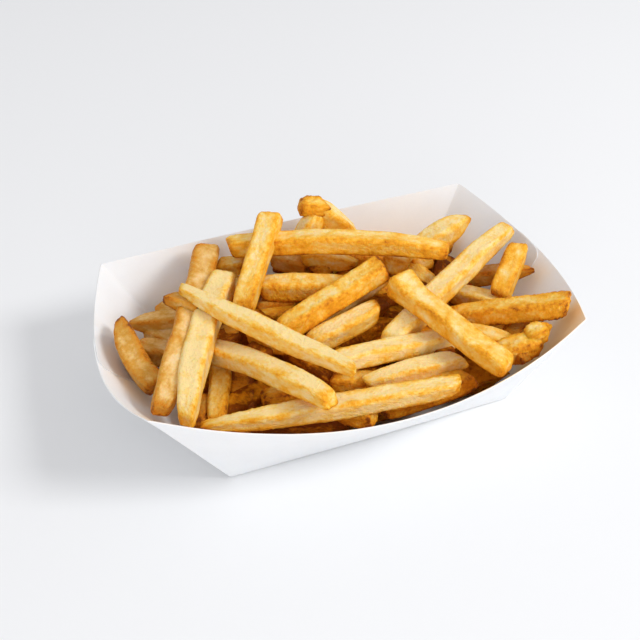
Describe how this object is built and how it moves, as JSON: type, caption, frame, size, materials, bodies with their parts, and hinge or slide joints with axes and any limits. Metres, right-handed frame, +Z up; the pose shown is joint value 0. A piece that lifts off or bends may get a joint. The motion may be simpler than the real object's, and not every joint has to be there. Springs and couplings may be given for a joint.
{
  "type": "french fries in a paper tray",
  "caption": "Open folded white paper food tray with four leaning walls, heaped with thick-cut french fries.",
  "frame": {"origin": "middle of the tray's flat underside, between its four base folds", "axes": "+Z up, +X along the tray's length, -Y towards the long wall that leans out the most"},
  "size_m": [0.2035, 0.1371, 0.0668],
  "materials": {
    "tray_paper": "smooth uncoated white paper board",
    "fried_potato": "golden fried potato with browner edges and a slight oily sheen"
  },
  "bodies": {
    "root": {"tray": "tray_paper", "fries": "fried_potato"}
  },
  "joints": []
}
